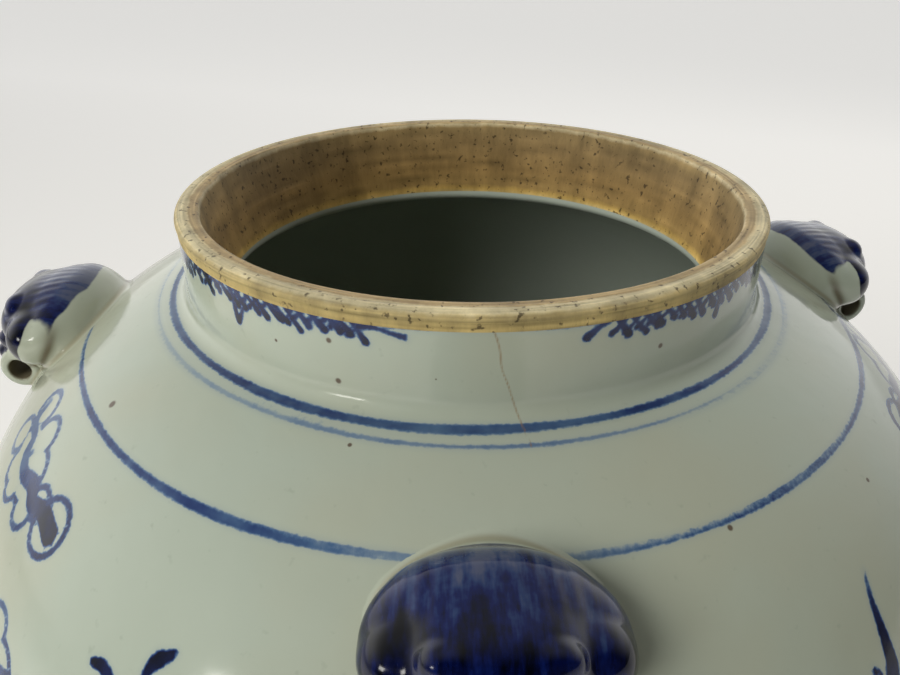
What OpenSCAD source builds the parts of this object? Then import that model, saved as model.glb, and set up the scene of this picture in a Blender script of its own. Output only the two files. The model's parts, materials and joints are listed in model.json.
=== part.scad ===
// Shouldered porcelain ginger jar with a short upright neck and four animal-mask lugs.
// The pot is thrown in sections that are luted together face to face. Each lug is a
// moulded head with applied ears, eyes and snout, and a pierced loop for a ring.
// Origin: centre of the foot's underside. +Z up, the front lug faces -Y.

/* [Pot] */
// Height from the foot's underside to the rim
jar_h = 345; // [290:1:420]
// Outer radius of the widest part of the belly
belly_r = 145.5; // [120:0.5:175]
// Radius of the round shoulder, from the belly up to the neck
shoulder_arc_r = 97.5; // [90:0.5:105]
// Thickness of the thrown wall
wall = 6.5; // [5:0.1:8]
// Share of the lower body's height over which it leaves the belly upright
belly_ease = 0.33; // [0.25:0.01:0.4]

/* [Neck] */
// Outer radius of the rim
rim_r = 75; // [62:0.5:90]
// Height of the neck, from the shoulder to the rim
neck_h = 22.9; // [18:0.1:30]
// How much wider the neck is where it meets the shoulder
neck_flare = 4.1; // [3:0.1:6]
// Radius of the fillet between neck and shoulder
neck_fillet = 4.4; // [3:0.1:6]
// Width of the flat rim, from its inner to its outer edge
rim_w = 5.9; // [4.5:0.1:8]
// How much narrower the inside is at the neck's lower lip than at the rim
lip_inset = 4.6; // [3:0.1:6]
// Rounding of the rim's outer edge
rim_round = 0.8; // [0.4:0.1:1.5]

/* [Foot] */
// Outer radius of the foot ring at the ground
foot_r = 84; // [70:0.5:95]
// Width of the foot ring's flat underside
foot_w = 8; // [6:0.1:12]
// Height of the foot ring
foot_h = 9; // [6:0.1:14]
// How much wider the foot ring is at its top
foot_lean = 2; // [0:0.1:4]
// Bevel along the foot ring's lower edges
foot_bevel = 1.2; // [0.5:0.1:2]
// Thickness of the base disc
base_t = 7; // [5:0.1:10]
// Width of the ledge that the base disc rests on
base_ledge = 2; // [1:0.1:3]

/* [Lugs] */
// Radius of the moulded head, seen from outside
head_r = 17.5; // [15:0.1:21]
// How far the head stands out from the pot
head_rise = 15.5; // [12:0.1:18]
// How far the head's middle lies above the lug's middle, along the slope
head_up = 5.5; // [4:0.1:7]
// Radius of the ear pellets
ear_r = 5.6; // [4.6:0.1:6.8]
// Radius of the eye pellets
eye_r = 3; // [2.4:0.1:3.6]
// How far the eyes stand out from the head
eye_bulge = 2; // [1.5:0.1:2.5]
// Distance from one eye to the other
eye_gap = 15; // [12:0.1:18]
// Radius of the snout
snout_r = 7.2; // [6:0.1:8]
// How far the snout stands out from the pot
snout_rise = 15; // [13:0.1:17]
// Radius of the ring hole
hole_r = 3.1; // [2.5:0.1:3.6]
// Clay around the ring hole
loop_wall = 2.9; // [2.4:0.1:3.4]
// Clay between the ring hole and the pot
hole_land = 2; // [1.6:0.1:2.6]
// Length of the ring hole, across the lug
loop_w = 14; // [12:0.1:17]
// Where each lug sits: azimuth, then distance down the slope from the neck
front_lug = [-87.4, 39];
right_lug = [15, 32];
back_lug = [93, 39];
left_lug = [182, 39];

/* [Hidden] */
$fn = 96;
glaze = "#b6c0b4";
biscuit = "#b79a7c";
cobalt = "#3d4a78";

// Shoulder: one arc, tangent to the upright at the belly
neck_base_r = rim_r + neck_flare;
arc_x = belly_r - shoulder_arc_r;
arc_z = jar_h - neck_h - sqrt(pow(shoulder_arc_r, 2) - pow(neck_base_r - arc_x, 2));
neck_angle = acos((neck_base_r - arc_x) / shoulder_arc_r);
neck_base_z = jar_h - neck_h;
arc_steps = 24;
function shoulder_pt(angle, r) = [arc_x + r * cos(angle), arc_z + r * sin(angle)];

// Inside of the shoulder, up to the lip under the neck
inner_arc_r = shoulder_arc_r - wall;
lip_r = rim_r - rim_w - lip_inset;
lip_angle = acos(min(1, (lip_r + 2 - arc_x) / inner_arc_r));

// Lower body: one curve from the upright belly to the foot, with its inside a wall away
foot_top_r = foot_r + foot_lean;
curve = [
  [belly_r, arc_z],
  [belly_r, arc_z - belly_ease * (arc_z - foot_h)],
  [foot_top_r + 2, foot_h + belly_ease * (arc_z - foot_h)],
  [foot_top_r, foot_h]
];
curve_steps = 28;
function lower_pt(t) =
  pow(1 - t, 3) * curve[0] + 3 * pow(1 - t, 2) * t * curve[1]
  + 3 * (1 - t) * pow(t, 2) * curve[2] + pow(t, 3) * curve[3];
function lower_dir(t) =
  pow(1 - t, 2) * (curve[1] - curve[0]) + 2 * (1 - t) * t * (curve[2] - curve[1])
  + pow(t, 2) * (curve[3] - curve[2]);
function lower_in(t) =
  let (d = lower_dir(t) / norm(lower_dir(t)))
  lower_pt(t) + wall * [d[1], -d[0]];

// Base disc: on the foot ring's ledge, inside the lower body's wall
foot_in_r = foot_r - foot_w;
base_r = foot_in_r + base_ledge;
base_top = foot_h + base_t;

// Lug parts, in the lug's own frame: x across, y up the slope, z out of the pot
loop_r = hole_r + loop_wall;
hole_y = -18.7;
// The pot falls away below the lug's middle, so the hole sits that much lower
fall = shoulder_arc_r - sqrt(pow(shoulder_arc_r, 2) - pow(hole_y, 2));
hole_z = hole_land + hole_r - fall;
snout_y = hole_y + loop_r + 2.2;
eye_y = snout_y + snout_r + 0.6;
eye_z = head_height(norm([eye_gap / 2, head_up - eye_y]));
ear_x = head_r - 0.8;
ear_y = head_up - 1;
// Low enough for the ears to reach the pot, which falls away across the lug too
ear_z = 0.7 * ear_r - pow(ear_x, 2) / (2 * shoulder_arc_r);
sink = 6;
// The head's round outline: its radius and height at an angle up from its edge
function head_pt(a) = [head_r * pow(cos(a), 0.7), head_rise * pow(sin(a), 0.8)];
// Height of the head's surface at a distance from its middle
function head_height(d) = head_pt(acos(pow(d / head_r, 1 / 0.7)))[1];

// ---- the pot's shapes ----

// Outside of the pot as a solid, for cutting what sits on it
module pot_outside() {
  rotate_extrude()
    polygon(concat(
      [[0, foot_h]],
      [for (i = [curve_steps:-1:1]) lower_pt(i / curve_steps)],
      [for (i = [0:arc_steps]) shoulder_pt(neck_angle * i / arc_steps, shoulder_arc_r)],
      [[0, neck_base_z]]
    ));
}

module base_disc() {
  color(biscuit)
    translate([0, 0, foot_h])
      cylinder(h = base_t, r = base_r);
}

module foot_ring() {
  color(biscuit)
    rotate_extrude()
      polygon([
        [foot_in_r, foot_bevel],
        [foot_in_r + foot_bevel, 0],
        [foot_r - foot_bevel, 0],
        [foot_r, foot_bevel],
        [foot_top_r, foot_h],
        [foot_in_r, foot_h]
      ]);
}

module lower_body() {
  color(glaze)
    rotate_extrude()
      polygon(concat(
        [for (i = [0:curve_steps]) lower_pt(i / curve_steps)],
        [[base_r, foot_h], [base_r, base_top]],
        [for (i = [curve_steps - 3:-1:1]) lower_in(i / curve_steps)],
        [[belly_r - wall, arc_z]]
      ));
}

module upper_body() {
  color(glaze)
    rotate_extrude()
      polygon(concat(
        [for (i = [0:arc_steps]) shoulder_pt(neck_angle * i / arc_steps, shoulder_arc_r)],
        [[lip_r, neck_base_z], [lip_r, neck_base_z - 1.5]],
        [for (i = [arc_steps:-1:0]) shoulder_pt(lip_angle * i / arc_steps, inner_arc_r)]
      ));
}

module neck_collar() {
  color(glaze)
    rotate_extrude()
      polygon(concat(
        [[lip_r, neck_base_z], [neck_base_r, neck_base_z]],
        [for (a = [250:-10:180])
          [rim_r - 0.4 + neck_fillet * (1 + cos(a)), neck_base_z + neck_fillet * (1.05 + sin(a))]],
        [for (a = [0:30:90])
          [rim_r - rim_round * (1 - cos(a)), jar_h - rim_round * (1 - sin(a))]],
        [[rim_r - rim_w + 0.5, jar_h], [rim_r - rim_w, jar_h - 0.8]]
      ));
}

// ---- the lugs ----

// Puts a lug's parts on the shoulder: turned to its azimuth, laid on the slope
module on_shoulder(place) {
  angle = neck_angle - place[1] / shoulder_arc_r * 180 / PI;
  spot = shoulder_pt(angle, shoulder_arc_r);
  rotate([0, 0, place[0]])
    translate([spot[0], 0, spot[1]])
      rotate([0, 90 - angle, 0])
        rotate([0, 0, 90])
          children();
}

// Domed head: a round cap with a soft shoulder
module head_shape() {
  translate([0, head_up, -sink])
    rotate_extrude()
      polygon(concat(
        [[0, 0], [head_r, 0]],
        [for (a = [0:9:90]) head_pt(a) + [0, sink]]
      ));
}

module loop_shape() {
  translate([0, hole_y, hole_z])
    rotate([0, 90, 0])
      cylinder(h = loop_w, r = loop_r, center = true);
}

// Round pellet of clay standing on the pot, from z = low up to its domed top
module pellet(x, y, low, top, r) {
  dome = 0.8 * r;
  translate([x, y, 0])
    rotate_extrude()
      polygon(concat(
        [[0, low], [r, low]],
        [for (a = [0:15:90]) [r * cos(a), top - dome + dome * sin(a)]]
      ));
}

module snout_shape() {
  pellet(0, snout_y, -sink, snout_rise, snout_r);
}

module lug_loop(place) {
  color(glaze)
    difference() {
      on_shoulder(place)
        loop_shape();
      on_shoulder(place)
        translate([0, hole_y, hole_z])
          rotate([0, 90, 0])
            cylinder(h = 2 * loop_w, r = hole_r, center = true);
      pot_outside();
    }
}

module lug_head(place) {
  color(cobalt)
    difference() {
      on_shoulder(place)
        head_shape();
      on_shoulder(place)
        loop_shape();
      on_shoulder(place)
        snout_shape();
      pot_outside();
    }
}

module lug_snout(place) {
  color(glaze)
    difference() {
      on_shoulder(place)
        snout_shape();
      on_shoulder(place)
        loop_shape();
      pot_outside();
    }
}

module lug_eyes(place) {
  color(cobalt)
    difference() {
      on_shoulder(place)
        for (side = [-1, 1])
          pellet(side * eye_gap / 2, eye_y, eye_z - 3, eye_z + eye_bulge, eye_r);
      on_shoulder(place)
        head_shape();
    }
}

module lug_ears(place) {
  color(glaze)
    difference() {
      on_shoulder(place)
        for (side = [-1, 1])
          translate([side * ear_x, ear_y, ear_z])
            sphere(r = ear_r);
      on_shoulder(place)
        head_shape();
      pot_outside();
    }
}

base_disc();
foot_ring();
lower_body();
upper_body();
neck_collar();
lug_head(front_lug);  // front_head
lug_ears(front_lug);  // front_ears
lug_eyes(front_lug);  // front_eyes
lug_snout(front_lug);  // front_snout
lug_loop(front_lug);  // front_loop
lug_head(right_lug);  // right_head
lug_ears(right_lug);  // right_ears
lug_eyes(right_lug);  // right_eyes
lug_snout(right_lug);  // right_snout
lug_loop(right_lug);  // right_loop
lug_head(back_lug);  // back_head
lug_ears(back_lug);  // back_ears
lug_eyes(back_lug);  // back_eyes
lug_snout(back_lug);  // back_snout
lug_loop(back_lug);  // back_loop
lug_head(left_lug);  // left_head
lug_ears(left_lug);  // left_ears
lug_eyes(left_lug);  // left_eyes
lug_snout(left_lug);  // left_snout
lug_loop(left_lug);  // left_loop
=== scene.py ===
# %% [markdown]
# # A blue-and-white porcelain ginger jar
# The real jar is a hollow pot, thrown on a wheel in sections that are luted together with slip,
# painted with cobalt on the raw clay, dipped in a clear greenish glaze and fired. Four animal-head
# lugs, pressed in a mould and pierced for a ring, sit on its shoulder. The rim is wiped bare.
# The CAD frame already holds every section and lug part at its true place, so this lesson measures
# that frame, builds a finer surface for each part in mesh code, paints it and glazes it.

# %% Load the frame
import json
import math

import bpy
import numpy as np
from mathutils import Matrix, Vector


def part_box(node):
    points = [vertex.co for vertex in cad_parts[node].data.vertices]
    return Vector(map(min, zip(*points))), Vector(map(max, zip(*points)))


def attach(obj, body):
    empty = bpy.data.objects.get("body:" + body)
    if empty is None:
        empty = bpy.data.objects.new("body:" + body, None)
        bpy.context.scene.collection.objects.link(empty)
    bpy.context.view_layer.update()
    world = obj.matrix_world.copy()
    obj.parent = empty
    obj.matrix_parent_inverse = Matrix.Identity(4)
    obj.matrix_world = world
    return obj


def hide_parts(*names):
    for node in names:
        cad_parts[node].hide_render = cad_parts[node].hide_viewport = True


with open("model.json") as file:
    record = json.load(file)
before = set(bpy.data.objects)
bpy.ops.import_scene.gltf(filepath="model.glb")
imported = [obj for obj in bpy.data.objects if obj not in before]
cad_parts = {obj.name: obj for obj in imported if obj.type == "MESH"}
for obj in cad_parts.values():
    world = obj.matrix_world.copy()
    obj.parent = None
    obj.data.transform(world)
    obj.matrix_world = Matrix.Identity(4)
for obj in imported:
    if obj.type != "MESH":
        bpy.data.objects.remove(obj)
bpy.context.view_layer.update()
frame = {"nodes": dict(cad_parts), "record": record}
MM = 0.001

# %% [markdown]
# ## Measure the pot
# A potter's jar is one outline turned round an axis: a foot ring, a lower body that swells, a round
# shoulder and an upright neck. The shoulder is a single arc, tangent to the upright at the belly.
# The arc's radius follows from two points on it, the belly and the neck's base. The frame's boxes
# and a few level rings of its points give every radius and height, so the outline is drawn again,
# only finer. Two shapes that no box shows are restated: the belly's ease and the neck's fillet.

# %% Read the outline's sizes from the frame
def corner(node, end, axis):
    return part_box(node)[end][axis] / MM


def ring_radii(node, low, high):
    points = np.array([v.co for v in frame["nodes"][node].data.vertices]) / MM
    near = points[(points[:, 2] >= low) & (points[:, 2] <= high)]
    radii = np.hypot(near[:, 0], near[:, 1])
    return radii.min(), radii.max()


rim_z = corner("neck_collar", 1, 2)
neck_z = corner("neck_collar", 0, 2)
neck_r = corner("neck_collar", 1, 0)
belly_z = corner("upper_body", 0, 2)
belly_r = corner("upper_body", 1, 0)
foot_z = corner("lower_body", 0, 2)
base_z = corner("base_disc", 1, 2)
base_r = corner("base_disc", 1, 0)
foot_top_r = corner("foot_ring", 1, 0)
rim_in, rim_r = ring_radii("neck_collar", rim_z - 1, rim_z)
lip_r, _ = ring_radii("neck_collar", neck_z - 0.1, neck_z + 0.1)
belly_in, _ = ring_radii("upper_body", belly_z - 0.1, belly_z + 0.1)
foot_in, foot_out = ring_radii("foot_ring", -0.1, 2)
wall = belly_r - belly_in

step_in = belly_r - neck_r
step_up = neck_z - belly_z
arc = (step_in ** 2 + step_up ** 2) / (2 * step_in)
arc_x = belly_r - arc
neck_angle = math.acos((neck_r - arc_x) / arc)
shoulder_length = neck_angle * arc
print(f"rim {rim_in:.1f}/{rim_r:.1f}, neck {neck_r:.1f} at {neck_z:.1f}")
print(f"belly {belly_r:.1f} at {belly_z:.1f}")
print(f"shoulder arc {arc:.1f} mm, wall {wall:.1f} mm, foot {foot_in:.1f}/{foot_out:.1f}")

# %% [markdown]
# ## The camera
# The viewer stands close and looks down into the mouth. The camera comes first because it decides
# how large each brush mark looks. Its place is given in rim radii from the rim's centre, so it stays
# right if the pot is made larger.

# %% Stand the camera
CAMERA_BACK = 2.6301
CAMERA_UP = 0.8420
LOOK_DOWN = math.radians(29.009)
LOOK_LEFT = math.radians(1.493)
LEAN = math.radians(0.122)
LENS = 30.737

camera = bpy.data.objects.new("camera", bpy.data.cameras.new("camera"))
bpy.context.scene.collection.objects.link(camera)
camera.data.lens = LENS
camera.data.sensor_width = 36
camera.data.clip_start = 0.01
place = Vector((0, -CAMERA_BACK * rim_r, rim_z + CAMERA_UP * rim_r)) * MM
aim = (Matrix.Rotation(LOOK_LEFT, 4, "Z") @ Matrix.Rotation(math.pi / 2 - LOOK_DOWN, 4, "X")
       @ Matrix.Rotation(LEAN, 4, "Z"))
camera.matrix_world = Matrix.Translation(place) @ aim
bpy.context.scene.camera = camera
print("camera at", [round(v, 4) for v in place])

# %% [markdown]
# ## The turned surface
# A lathe grid is one row of points for each height, repeated round the axis. A hand-thrown wall is
# never quite round, so a small drift is taken off the radius: two slow swells round the pot, and
# the faint spiral that the fingers leave. It is only ever taken off, so the pot stays in its size.

# %% Outline helpers
DRIFT = 0.16
SPIRAL = 0.035
SPIRAL_PITCH = 7.5


def thrown(angle, z):
    swell = np.sin(2 * angle + 0.7 + z / 160) + 0.6 * np.sin(3 * angle - 1.1 - z / 120)
    spiral = np.sin(2 * math.pi * z / SPIRAL_PITCH + angle)
    return DRIFT * (swell - 1.6) / 2 + SPIRAL * (spiral - 1) / 2


def spaced(points, step):
    """Points along a smooth stretch, about step apart, with both ends kept."""
    points = np.asarray(points, float)
    run = np.r_[0, np.cumsum(np.hypot(*np.diff(points, axis=0).T))]
    count = max(2, int(round(run[-1] / step)) + 1)
    at = np.linspace(0, run[-1], count)
    return np.c_[np.interp(at, run, points[:, 0]), np.interp(at, run, points[:, 1])]


def joined(*stretches):
    """One outline from stretches that meet end to end, without doubled points."""
    outline = [stretches[0]]
    for stretch in stretches[1:]:
        outline.append(stretch[1:] if np.allclose(outline[-1][-1], stretch[0]) else stretch)
    return np.vstack(outline)


def arc_points(centre, radius, start, stop, count=90):
    turn = np.radians(np.linspace(start, stop, count))
    return np.c_[centre[0] + radius * np.cos(turn), centre[1] + radius * np.sin(turn)]


def shoulder_points(radius, low=0.0, high=neck_angle):
    return arc_points((arc_x, belly_z), radius, math.degrees(low), math.degrees(high), 200)


# %% [markdown]
# The lower body is one smooth curve from the upright belly to the foot: a Bezier curve with four
# control points, the same way the frame draws it. Its slope gives the inside, one wall further in.

# %% The lower body's curve
BELLY_EASE = 0.33
ease = BELLY_EASE * (belly_z - foot_z)
control = np.array([[belly_r, belly_z], [belly_r, belly_z - ease],
                    [foot_top_r + 2, foot_z + ease], [foot_top_r, foot_z]])


def lower_points(inward=0.0, count=240, first=0.0, last=1.0):
    t = np.linspace(first, last, count)[:, None]
    point = ((1 - t) ** 3 * control[0] + 3 * (1 - t) ** 2 * t * control[1]
             + 3 * (1 - t) * t ** 2 * control[2] + t ** 3 * control[3])
    slope = ((1 - t) ** 2 * (control[1] - control[0]) + 2 * (1 - t) * t * (control[2] - control[1])
             + t ** 2 * (control[3] - control[2]))
    slope /= np.linalg.norm(slope, axis=1)[:, None]
    return point + inward * np.c_[slope[:, 1], -slope[:, 0]]


# %% Turn an outline into a mesh
def build(name, points, faces, materials=(), slots=None):
    mesh = bpy.data.meshes.new(name)
    mesh.from_pydata((np.asarray(points) * MM).tolist(), [], np.asarray(faces).tolist())
    mesh.polygons.foreach_set("use_smooth", [True] * len(mesh.polygons))
    for material in materials:
        mesh.materials.append(material)
    if slots is not None:
        mesh.polygons.foreach_set("material_index", slots)
    piece = bpy.data.objects.new(name, mesh)
    bpy.context.scene.collection.objects.link(piece)
    return piece


def turned(name, outline, columns, materials, slot_rows=None, sharp=50):
    """A closed ring of section `outline`, listed so that its outer side runs upwards."""
    angle = np.linspace(-math.pi, math.pi, columns, endpoint=False) + math.pi / 2
    radius = outline[:, :1] + thrown(angle[None, :], outline[:, 1:])
    height = np.repeat(outline[:, 1:], columns, axis=1)
    points = np.stack([radius * np.cos(angle), radius * np.sin(angle), height], axis=-1).reshape(-1, 3)
    row = np.arange(len(outline))[:, None] * columns
    above = np.roll(row, -1, axis=0)
    col = np.arange(columns)[None, :]
    beside = np.roll(col, -1, axis=1)
    faces = np.stack([row + col, row + beside, above + beside, above + col], axis=-1).reshape(-1, 4)
    slots = None if slot_rows is None else np.repeat(slot_rows, columns)
    piece = build(name, points, faces, materials, slots)
    piece.data.set_sharp_from_angle(angle=math.radians(sharp))
    print(f"{name}: {len(outline)} rows x {columns} columns")
    return piece


# %% [markdown]
# ## Paint coordinates
# A painter measures along the pot's skin: how far round, and how far down the slope from the base
# of the neck. Every mark below is placed by an angle in degrees (-90 is the front) and that slope
# distance in millimetres, with the neck's own face above zero as negative numbers.

# %% Skin coordinates
FILLET = 4.4
neck_face = rim_r - 0.35
neck_curve = arc_points((neck_face + FILLET, neck_z + FILLET), FILLET, 266, 180, 24)
neck_curve[0] = (neck_r, neck_z)
neck_skin = joined(neck_curve, np.array([[neck_face, rim_z]]))
neck_run = np.r_[0, np.cumsum(np.hypot(*np.diff(neck_skin, axis=0).T))]
lower_skin = lower_points()
lower_run = shoulder_length + np.r_[0, np.cumsum(np.hypot(*np.diff(lower_skin, axis=0).T))]


def slope_at(height):
    """Slope distance of a height on the neck: negative, because it is above the neck's base."""
    return -np.interp(height, neck_skin[:, 1], neck_run)


def skin(points):
    """Angle in degrees, slope distance in mm and radius in mm of each point."""
    x, y, z = points.T
    rho = np.hypot(x, y)
    slope = np.where(
        z > neck_z - 0.001, slope_at(z),
        np.where(z > belly_z, (neck_angle - np.arctan2(z - belly_z, rho - arc_x)) * arc,
                 np.interp(-z, -lower_skin[:, 1], lower_run)))
    return np.degrees(np.arctan2(y, x)), slope, rho


def turn_between(angle, centre):
    return (angle - centre + 180) % 360 - 180


# %% [markdown]
# ## Brush marks as distances
# Cobalt is laid with a soft brush. A mark is kept as a distance: how many millimetres a point of the
# skin lies inside the mark's edge. A distance stays crisp between mesh points where a painted
# darkness would blur, and the shader can feather or fray the edge later. Each mark also has a tone:
# 0 is bare glaze, 0.3 a pale wash, 1 the blue-black where the cobalt pools.

# %% The painter's canvas
class Canvas:
    """Holds the marks' distance and tone for the points of one piece."""

    def __init__(self, points, outer_count):
        self.angle, self.slope, self.rho = skin(points)
        self.slope[outer_count:] = 999
        self.mm = np.full(len(points), -9.0)
        self.tone = np.zeros(len(points))

    def lay(self, index, distance, tone):
        """Adds a mark: where marks overlap, the deeper one wins and gives its tone."""
        wins = distance > self.mm[index]
        chosen = index[wins]
        self.mm[chosen] = distance[wins]
        self.tone[chosen] = np.broadcast_to(tone, distance.shape)[wins]

    def near(self, angle, slope, reach):
        """Points within reach mm of a spot, with their place across and down from it."""
        across = np.radians(turn_between(self.angle, angle)) * self.rho
        down = self.slope - slope
        index = np.flatnonzero((np.abs(across) < reach) & (np.abs(down) < reach))
        return index, across[index], down[index]

    def ring(self, slope, width, tone, sway=0.3, seed=0.0):
        """A band painted while the pot turns on the wheel, so it wavers a little."""
        turn = np.radians(self.angle)
        centre = slope + sway * np.sin(turn * 2 + seed) + 0.4 * sway * np.sin(turn * 7 + 3 * seed)
        half = width / 2 * (1 + 0.22 * np.sin(turn * 3 + seed) + 0.12 * np.sin(turn * 11 - seed))
        index = np.flatnonzero(np.abs(self.slope - slope) < width + 4)
        tones = tone(self.angle[index]) if callable(tone) else tone
        self.lay(index, half[index] - np.abs(self.slope[index] - centre[index]), tones)

    def stroke(self, route, widths, tones, reach=None):
        """A brush stroke through (angle, slope) points; width and tone run along it."""
        route = np.asarray(route, float)
        middle = route.mean(axis=0)
        spread = np.abs(turn_between(route[:, 0], middle[0])).max()
        span = max(np.abs(route[:, 1] - middle[1]).max(), math.radians(spread) * belly_r)
        index, across, down = self.near(middle[0], middle[1], (reach or span) + max(widths) + 3)
        if not len(index):
            return
        curve = smooth_curve(route, 10)
        along = np.linspace(0, 1, len(curve))
        half = np.interp(along, np.linspace(0, 1, len(widths)), widths) / 2
        tone = np.interp(along, np.linspace(0, 1, len(tones)), tones)
        best = np.full(len(index), -9.0)
        best_tone = np.zeros(len(index))
        rho = self.rho[index]
        for k in range(len(curve) - 1):
            ax = across - math.radians(turn_between(curve[k, 0], middle[0])) * rho
            ay = down - (curve[k, 1] - middle[1])
            bx = math.radians(curve[k + 1, 0] - curve[k, 0]) * rho
            by = curve[k + 1, 1] - curve[k, 1]
            t, off = beside(ax, ay, bx, by)
            inside = half[k] + t * (half[k + 1] - half[k]) - off
            wins = inside > best
            best[wins] = inside[wins]
            best_tone[wins] = (tone[k] + t * (tone[k + 1] - tone[k]))[wins]
        self.lay(index, best, best_tone)


def beside(ax, ay, bx, by):
    """How far along a segment (bx, by) a point (ax, ay) lies, and how far from it."""
    t = np.clip((ax * bx + ay * by) / (bx * bx + by * by + 1e-9), 0, 1)
    return t, np.hypot(ax - t * bx, ay - t * by)


def smooth_curve(route, per_span):
    """A smooth curve through every point of a given route."""
    route = np.asarray(route, float)
    padded = np.vstack([2 * route[0] - route[1], route, 2 * route[-1] - route[-2]])
    t = np.linspace(0, 1, per_span, endpoint=False)[:, None]
    spans = []
    for a, b, c, d in zip(padded, padded[1:], padded[2:], padded[3:]):
        spans.append(0.5 * (2 * b + (c - a) * t + (2 * a - 5 * b + 4 * c - d) * t ** 2
                            + (3 * b - a - 3 * c + d) * t ** 3))
    return np.vstack(spans + [route[-1:]])


# %% [markdown]
# ### The clouds
# The shoulder carries drifting clouds: a chain of round lobes with a blue outline, a pale gap and a
# dark core that darkens towards the tail. The lobes' circles are merged into one shape, its edge is
# the outline, and the core is a thick stroke through the middle.

# %% Cloud motif
def cloud(canvas, angle, slope, lobes, spine, core, flip=1, line=1.5, size=1.0):
    """Lobes are (across, down, radius) in mm from the cloud's place; spine is a route in mm."""
    index, across, down = canvas.near(angle, slope, 60 * size)
    if not len(index):
        return
    across = across * flip / size
    down = down / size
    edge = np.full(len(index), -99.0)
    for x, y, r in lobes:
        edge = np.maximum(edge, r - np.hypot(across - x, down - y))
    fresh = edge * size > -line
    canvas.mm[index[fresh]] = -9.0
    outline = line / 2 - np.abs(edge) * size
    shade = np.interp(across, [spine[0][0], spine[-1][0]], [0.5, 0.72])
    canvas.lay(index, outline, shade)
    curve = smooth_curve(spine, 8)
    along = np.linspace(0, 1, len(curve))
    half = np.interp(along, np.linspace(0, 1, len(core)), core) / 2
    inside = np.full(len(index), -9.0)
    tone = np.zeros(len(index))
    for k in range(len(curve)):
        reach = half[k] - np.hypot(across - curve[k, 0], down - curve[k, 1])
        wins = reach > inside
        inside[wins] = reach[wins]
        tone[wins] = 0.48 + 0.5 * along[k] ** 2
    canvas.lay(index, inside * size, tone)


CHAIN_LOBES = [(-20, -9, 4.6), (-9.5, -7.5, 4.8), (-23, 0.5, 4.2), (-4, -0.8, 6.4), (-14, 3.2, 4.2),
               (-9, 4.6, 4.2), (2.5, 3.8, 4.4), (-15, -2.5, 5.0), (7, -0.4, 3.6), (15.5, 0.3, 6.2)]
CHAIN_SPINE = [(-22, -10), (-21, -5), (-15, -4), (-12.5, -1), (-7, 0.8), (0, -0.8), (5, 1),
               (11, -0.4), (17.5, 1)]
CHAIN_CORE = [1.8, 3.0, 2.6, 3.6, 3.4, 4.2, 4.0, 4.4, 4.8]


# %% Paint the whole pot
def paint_pot(canvas):
    front = lambda angle: 0.62 - 0.42 * np.exp(-(turn_between(angle, -88) / 17) ** 2)
    canvas.ring(-0.6, 1.9, lambda angle: 0.56 + 0.07 * np.sin(np.radians(angle) * 5), 0.2, 0.4)
    canvas.ring(3.4, 1.2, lambda angle: 0.26 + 0.08 * np.sin(np.radians(angle) * 3), 0.4, 2.1)
    canvas.ring(25.2, 1.5, front, 0.45, 1.3)
    cloud(canvas, -144, 45.5, CHAIN_LOBES, CHAIN_SPINE, CHAIN_CORE)
    cloud(canvas, -15, 40, CHAIN_LOBES, CHAIN_SPINE, CHAIN_CORE, flip=-1)
    cloud(canvas, 48, 47, CHAIN_LOBES, CHAIN_SPINE, CHAIN_CORE)
    cloud(canvas, 128, 43, CHAIN_LOBES, CHAIN_SPINE, CHAIN_CORE, flip=-1)
    canvas.stroke([(-114.6, 49), (-115.9, 51), (-116.6, 53.5), (-116.9, 57), (-119, 63), (-123, 68)],
                  [1.2, 3.0, 2.0, 1.8, 2.2, 1.0], [0.85, 0.95, 0.85, 0.8, 0.85, 0.7])
    canvas.stroke([(-122.4, 57.6), (-121.2, 57.2), (-119.6, 58.6)], [1.6, 2.6, 2.0], [0.9, 0.95, 0.85])
    canvas.stroke([(-49.4, 45), (-50.4, 50), (-50.9, 57), (-51.6, 63.5), (-54, 70), (-58, 77)],
                  [0.5, 1.5, 2.6, 4.0, 4.6, 1.0], [0.5, 0.78, 0.95, 0.98, 0.95, 0.8])
    canvas.stroke([(-53.6, 60.2), (-53.0, 61.6)], [1.6, 1.2], [0.9, 0.85])
    cloud(canvas, -133, 76, CHAIN_LOBES, CHAIN_SPINE, CHAIN_CORE, size=0.9)
    for k in range(6):
        turn = 60 * k
        cloud(canvas, turn - 100, 122, CHAIN_LOBES, CHAIN_SPINE, CHAIN_CORE, flip=(-1) ** k)
        canvas.stroke([(turn - 78, 92), (turn - 76, 100), (turn - 70, 106), (turn - 62, 104)],
                      [0.6, 3.2, 3.6, 0.8], [0.6, 0.9, 0.85, 0.6])
    foot_run = lower_run[-1]
    canvas.ring(foot_run - 12, 1.8, 0.6, 0.4, 0.9)
    canvas.ring(foot_run - 17, 1.2, 0.45, 0.4, 2.9)


# %% [markdown]
# ### The diaper border under the rim
# Short strokes cross each other like a net, hanging from the rim's glaze line. The brush is full at
# the top of each stroke, so cobalt pools there in blue-black spots. The painter left gaps: at the
# front the net stops, and only a pale line runs on.

# %% Crossed strokes
GLAZE_LINE = rim_z - 2.0
NET_TOP = float(slope_at(GLAZE_LINE))


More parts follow.
